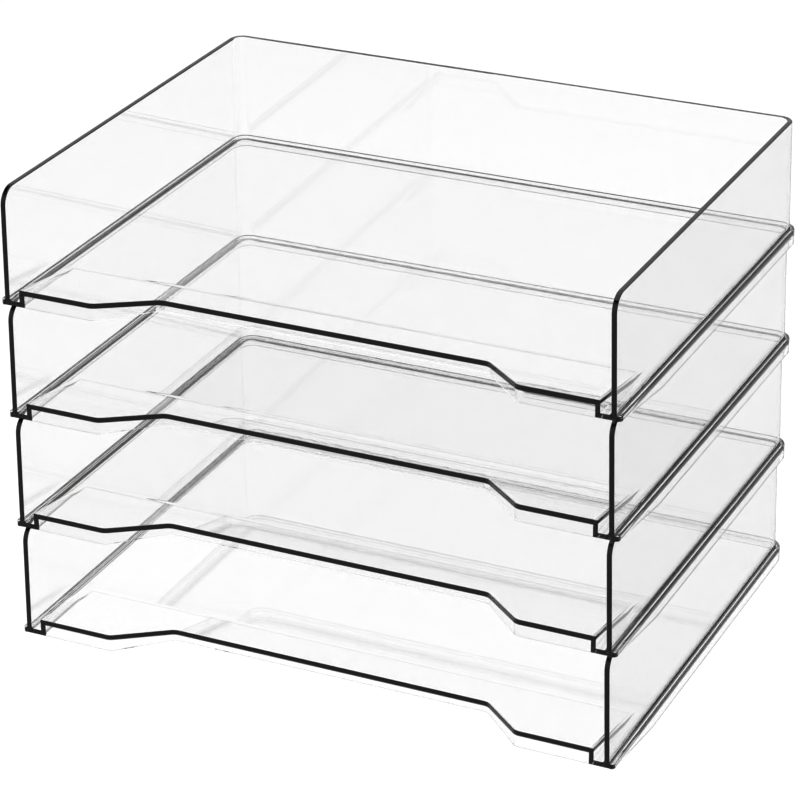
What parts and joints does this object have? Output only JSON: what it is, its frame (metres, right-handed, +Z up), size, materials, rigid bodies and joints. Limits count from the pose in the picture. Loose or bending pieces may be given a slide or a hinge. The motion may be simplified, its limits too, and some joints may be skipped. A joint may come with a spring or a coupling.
{
  "type": "letter tray",
  "caption": "Stack of clear plastic letter trays, each open at the front with a finger cut-out in its raised front edge and a base rim that sits around the walls of the tray below.",
  "frame": {"origin": "centre of the footprint, on the surface that the bottom tray's base rim stands on", "axes": "+X to the right along the trays' width, +Y to the closed back, so the open fronts face -Y, +Z up, the way each tray lifts off"},
  "size_m": [0.3298, 0.2516, 0.2532],
  "materials": {
    "clear_plastic": "clear, polished"
  },
  "bodies": {
    "tray_1": {"tray_1": "clear_plastic"},
    "tray_2": {"tray_2": "clear_plastic"},
    "tray_3": {"tray_3": "clear_plastic"},
    "tray_4": {"tray_4": "clear_plastic"}
  },
  "joints": [
    {"name": "lift_2", "type": "slide", "parent": "tray_1", "child": "tray_2", "axis": [0, 0, 1], "range_m": [0, 0.08]},
    {"name": "lift_3", "type": "slide", "parent": "tray_2", "child": "tray_3", "axis": [0, 0, 1], "range_m": [0, 0.08]},
    {"name": "lift_4", "type": "slide", "parent": "tray_3", "child": "tray_4", "axis": [0, 0, 1], "range_m": [0, 0.08]}
  ]
}
